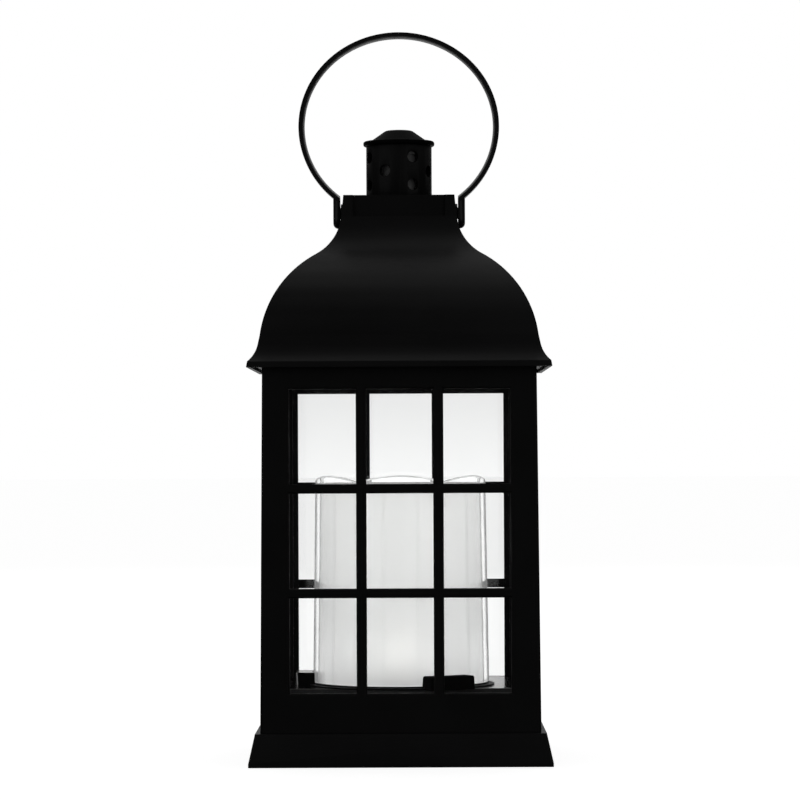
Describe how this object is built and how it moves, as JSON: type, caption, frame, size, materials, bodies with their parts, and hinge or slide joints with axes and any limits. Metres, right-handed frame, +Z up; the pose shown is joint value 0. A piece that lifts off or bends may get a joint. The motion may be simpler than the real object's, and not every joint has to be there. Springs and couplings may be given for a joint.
{
  "type": "candle lantern",
  "caption": "Square black candle lantern with glazed window panels, ogee roof, vented chimney, swinging ring bail and a battery candle inside.",
  "frame": {"origin": "middle of the base, on the surface that the lantern stands on", "axes": "+Z up, -Y towards the front, +X to the right when seen from the front"},
  "size_m": [0.1264, 0.1264, 0.3105],
  "materials": {
    "black_plastic": "satin, finely textured",
    "bail_plastic": "satin",
    "inner_plastic": "plain moulded",
    "knob_plastic": "plain moulded",
    "clear_plastic": "clear, glossy",
    "pane_plastic": "clear, glossy",
    "frosted_plastic": "frosted",
    "white_plastic": "satin",
    "bulb_resin": "clear resin",
    "screw_steel": "zinc plated",
    "contact_metal": "nickel plated",
    "switch_metal": "tinned",
    "cell_wrap": "printed film, plain",
    "circuit_board": "solder mask",
    "wire_cover": "soft sheath"
  },
  "bodies": {
    "lantern": {"plinth": "black_plastic", "bottom_cover": "black_plastic", "cover_screws": "screw_steel", "battery_box": "inner_plastic", "battery_contacts": "contact_metal", "battery_cells": "cell_wrap", "control_board": "circuit_board", "switch_body": "switch_metal", "led_wires": "wire_cover", "candle_base": "black_plastic", "candle_shell": "clear_plastic", "candle_diffuser": "frosted_plastic", "led_holder": "white_plastic", "led_bulb": "bulb_resin", "roof_shell": "black_plastic", "chimney_tube": "black_plastic", "chimney_cap": "black_plastic", "front_panel": "black_plastic", "front_pane": "pane_plastic", "right_panel": "black_plastic", "right_pane": "pane_plastic", "rear_panel": "black_plastic", "rear_pane": "pane_plastic", "left_panel": "black_plastic", "left_pane": "pane_plastic"},
    "bail": {"handle_bail": "bail_plastic"},
    "battery_door": {"battery_door": "black_plastic"},
    "switch_knob": {"switch_knob": "knob_plastic"}
  },
  "joints": [
    {"name": "handle_swing", "type": "hinge", "parent": "lantern", "child": "bail", "pos_m": [0, 0, 0.2328], "axis": [1, 0, 0], "range_deg": [-112, 112]},
    {"name": "battery_door_hinge", "type": "hinge", "parent": "lantern", "child": "battery_door", "pos_m": [-0.02645, 0.005, 0.0027], "axis": [0, 1, 0], "range_deg": [0, 95]},
    {"name": "switch_slide", "type": "slide", "parent": "lantern", "child": "switch_knob", "axis": [1, 0, 0], "range_m": [-0.002, 0.002]}
  ]
}
